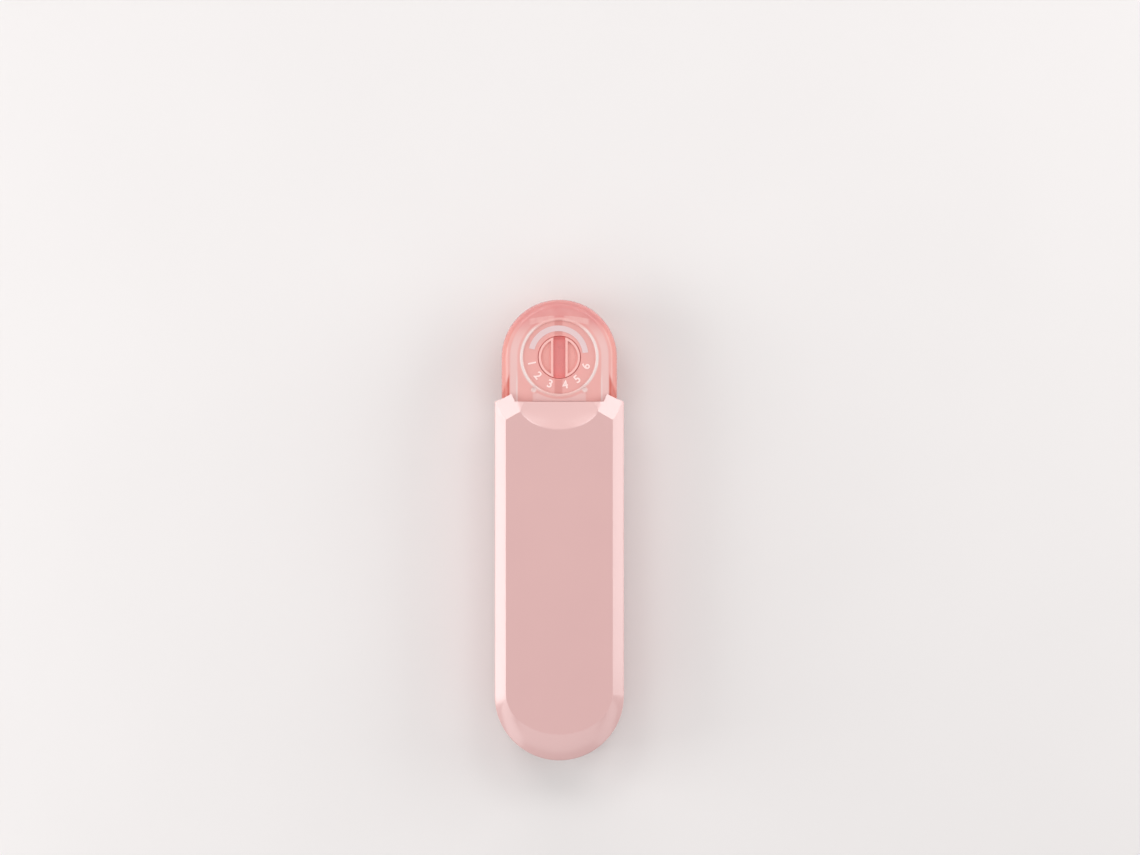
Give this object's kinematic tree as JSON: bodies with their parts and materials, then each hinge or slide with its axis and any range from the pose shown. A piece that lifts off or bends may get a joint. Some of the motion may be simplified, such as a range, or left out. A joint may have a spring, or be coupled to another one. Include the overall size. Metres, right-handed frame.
{
  "type": "correction tape roller",
  "caption": "Push-pull correction tape: opaque capsule sleeve around a sliding translucent body with geared reels and a blade tip.",
  "frame": {"origin": "middle of the length and width, on the back face it rests on", "axes": "+Y along the length towards the translucent head, -Y the way the tip comes out, +Z out of the front face, +X across the width"},
  "size_m": [0.023, 0.082, 0.0148],
  "materials": {
    "sleeve_plastic": "opaque pastel pink moulded plastic, satin gloss",
    "carriage_plastic": "translucent peach moulded plastic, polished",
    "tip_plastic": "natural white moulded plastic",
    "gear_plastic": "natural white gear plastic",
    "reel_plastic": "natural white reel plastic",
    "takeup_plastic": "coral tinted plastic",
    "white_tape": "white covering film on carrier",
    "carrier_film": "clear carrier film",
    "friction_rubber": "soft rubber",
    "spring_steel": "spring steel"
  },
  "bodies": {
    "sleeve": {"sleeve_front_shell": "sleeve_plastic", "sleeve_rear_shell": "sleeve_plastic"},
    "carriage": {"carriage_tray": "carriage_plastic", "carriage_cover": "carriage_plastic", "applicator_tip": "tip_plastic", "idler_washer": "gear_plastic", "feed_tape_run": "white_tape", "return_carrier_run": "carrier_film"},
    "supply_drive": {"supply_gear": "gear_plastic", "clutch_friction_washer": "friction_rubber", "clutch_spring_washer": "spring_steel", "clutch_cap": "gear_plastic"},
    "supply_reel": {"supply_spool": "reel_plastic", "supply_top_flange": "reel_plastic", "correction_tape_coil": "white_tape"},
    "idler": {"idler_gear": "gear_plastic"},
    "takeup_reel": {"takeup_gear": "gear_plastic", "takeup_spool": "takeup_plastic", "takeup_top_flange": "takeup_plastic", "carrier_coil": "carrier_film"}
  },
  "joints": [
    {"name": "carriage_slide", "type": "slide", "parent": "sleeve", "child": "carriage", "axis": [0, -1, 0], "range_m": [0, 0.014]},
    {"name": "supply_drive_spin", "type": "hinge", "parent": "carriage", "child": "supply_drive", "pos_m": [-0.00035, 0.0117, 0.0074], "axis": [0, 0, 1], "continuous": true},
    {"name": "clutch_slip", "type": "hinge", "parent": "supply_drive", "child": "supply_reel", "pos_m": [-0.00035, 0.0117, 0.0074], "axis": [0, 0, 1], "continuous": true},
    {"name": "idler_spin", "type": "hinge", "parent": "carriage", "child": "idler", "pos_m": [0.0012, 0.0234, 0.0074], "axis": [0, 0, 1], "continuous": true},
    {"name": "takeup_spin", "type": "hinge", "parent": "carriage", "child": "takeup_reel", "pos_m": [0, 0.0307, 0.0074], "axis": [0, 0, 1], "continuous": true}
  ],
  "couplings": [
    {"joint": "idler_spin", "follows": "supply_drive_spin", "ratio": -2.1053},
    {"joint": "takeup_spin", "follows": "supply_drive_spin", "ratio": 2.2222}
  ]
}
